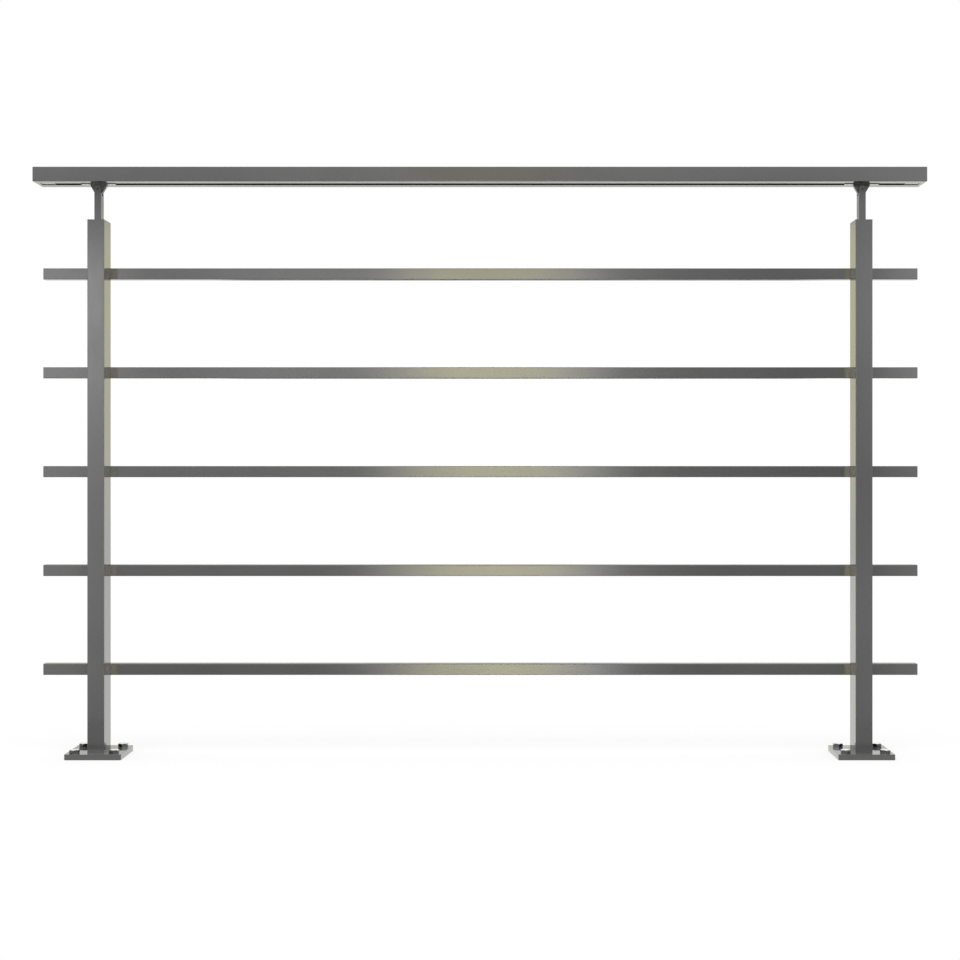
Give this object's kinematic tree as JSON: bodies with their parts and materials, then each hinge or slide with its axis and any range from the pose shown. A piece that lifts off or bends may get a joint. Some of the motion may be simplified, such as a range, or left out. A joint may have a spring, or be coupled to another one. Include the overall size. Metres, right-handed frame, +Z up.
{
  "type": "deck railing section",
  "caption": "Metal deck railing section: flat slotted handrail on posts with flared brackets, crossbars behind the posts and bolt-down base plates.",
  "frame": {"origin": "centre of the left base plate's underside, where it meets the floor", "axes": "+X along the handrail to the right-hand post, +Z up, and the side seen in the picture faces -Y"},
  "size_m": [1.58, 0.1, 1.045],
  "materials": {
    "rail_finish": "powder-coated aluminium extrusion, smooth iron grey, semi-gloss",
    "post_finish": "powder-coated aluminium rectangular tube, smooth iron grey, semi-gloss",
    "crossbar_finish": "powder-coated aluminium square tube, smooth iron grey, semi-gloss",
    "plate_finish": "powder-coated aluminium plate, smooth iron grey, semi-gloss",
    "fitting_finish": "powder-coated aluminium, machined brackets and stems, iron grey, semi-gloss",
    "screw_steel": "bright machined stainless steel of the bolts and screws"
  },
  "bodies": {
    "root": {"handrail": "rail_finish", "base_plate_left": "plate_finish", "post_left": "post_finish", "post_cap_left": "fitting_finish", "stem_left": "fitting_finish", "bracket_head_left": "fitting_finish", "saddle_plate_left": "rail_finish", "end_cap_left": "rail_finish", "end_lug_left": "rail_finish", "base_plate_right": "plate_finish", "post_right": "post_finish", "post_cap_right": "fitting_finish", "stem_right": "fitting_finish", "bracket_head_right": "fitting_finish", "saddle_plate_right": "rail_finish", "end_cap_right": "rail_finish", "end_lug_right": "rail_finish", "crossbar_1": "crossbar_finish", "crossbar_plug_left_1": "crossbar_finish", "crossbar_plug_right_1": "crossbar_finish", "crossbar_2": "crossbar_finish", "crossbar_plug_left_2": "crossbar_finish", "crossbar_plug_right_2": "crossbar_finish", "crossbar_3": "crossbar_finish", "crossbar_plug_left_3": "crossbar_finish", "crossbar_plug_right_3": "crossbar_finish", "crossbar_4": "crossbar_finish", "crossbar_plug_left_4": "crossbar_finish", "crossbar_plug_right_4": "crossbar_finish", "crossbar_5": "crossbar_finish", "crossbar_plug_left_5": "crossbar_finish", "crossbar_plug_right_5": "crossbar_finish"}
  },
  "joints": []
}
